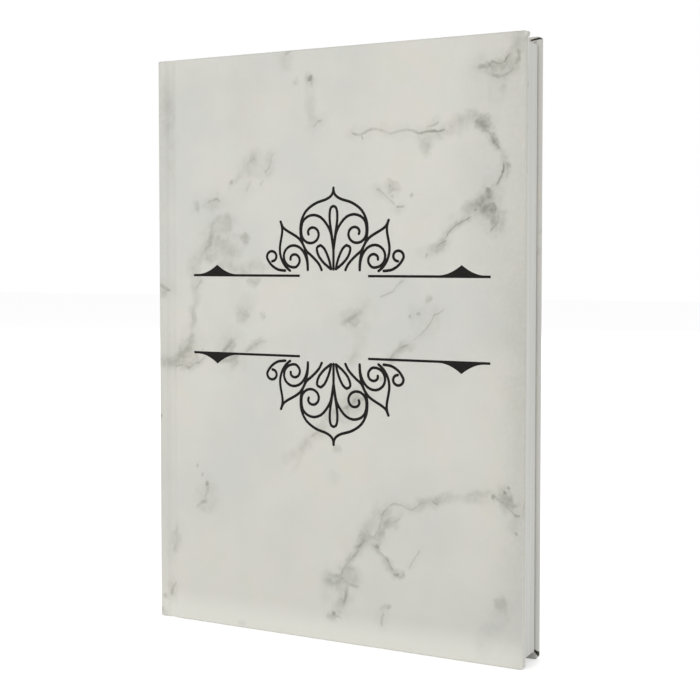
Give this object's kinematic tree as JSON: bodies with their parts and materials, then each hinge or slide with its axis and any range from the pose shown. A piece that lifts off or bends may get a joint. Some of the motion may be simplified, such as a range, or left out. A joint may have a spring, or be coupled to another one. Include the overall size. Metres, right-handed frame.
{
  "type": "faux leather journal",
  "caption": "Hardcover journal, closed and standing on its tail: stiff covers in marbled leatherette that open at grooves beside a square spine, with an engraved scroll ornament on the front.",
  "frame": {"origin": "middle of the closed book's footprint, on the plane that its covers and spine stand on", "axes": "+X from the spine to the fore-edge, +Y from the front cover to the back cover, +Z from the tail to the head"},
  "size_m": [0.148, 0.0164, 0.212],
  "materials": {
    "leatherette": "satin leatherette with a fine grain, printed off-white with grey marble veins",
    "burnt_core": "matt black core of the leatherette, laid bare by engraving",
    "greyboard": "matt grey book board",
    "pages": "cut edges of matt off-white paper",
    "endpaper": "matt off-white paper",
    "cloth": "off-white cotton"
  },
  "bodies": {
    "book_block": {"text_block": "pages", "spine_lining": "cloth", "head_band": "cloth", "tail_band": "cloth", "spine_strip": "greyboard", "spine_wrap": "leatherette", "front_endpaper": "endpaper", "back_endpaper": "endpaper"},
    "front_cover": {"front_board": "greyboard", "front_wrap": "leatherette", "engraving": "burnt_core", "front_pastedown": "endpaper"},
    "back_cover": {"back_board": "greyboard", "back_wrap": "leatherette", "back_pastedown": "endpaper"}
  },
  "joints": [
    {"name": "front_joint", "type": "hinge", "parent": "book_block", "child": "front_cover", "pos_m": [-0.06835, -0.0084, 0.106], "axis": [0, 0, -1], "range_deg": [0, 178]},
    {"name": "back_joint", "type": "hinge", "parent": "book_block", "child": "back_cover", "pos_m": [-0.06835, 0.0084, 0.106], "axis": [0, 0, 1], "range_deg": [0, 178]}
  ]
}
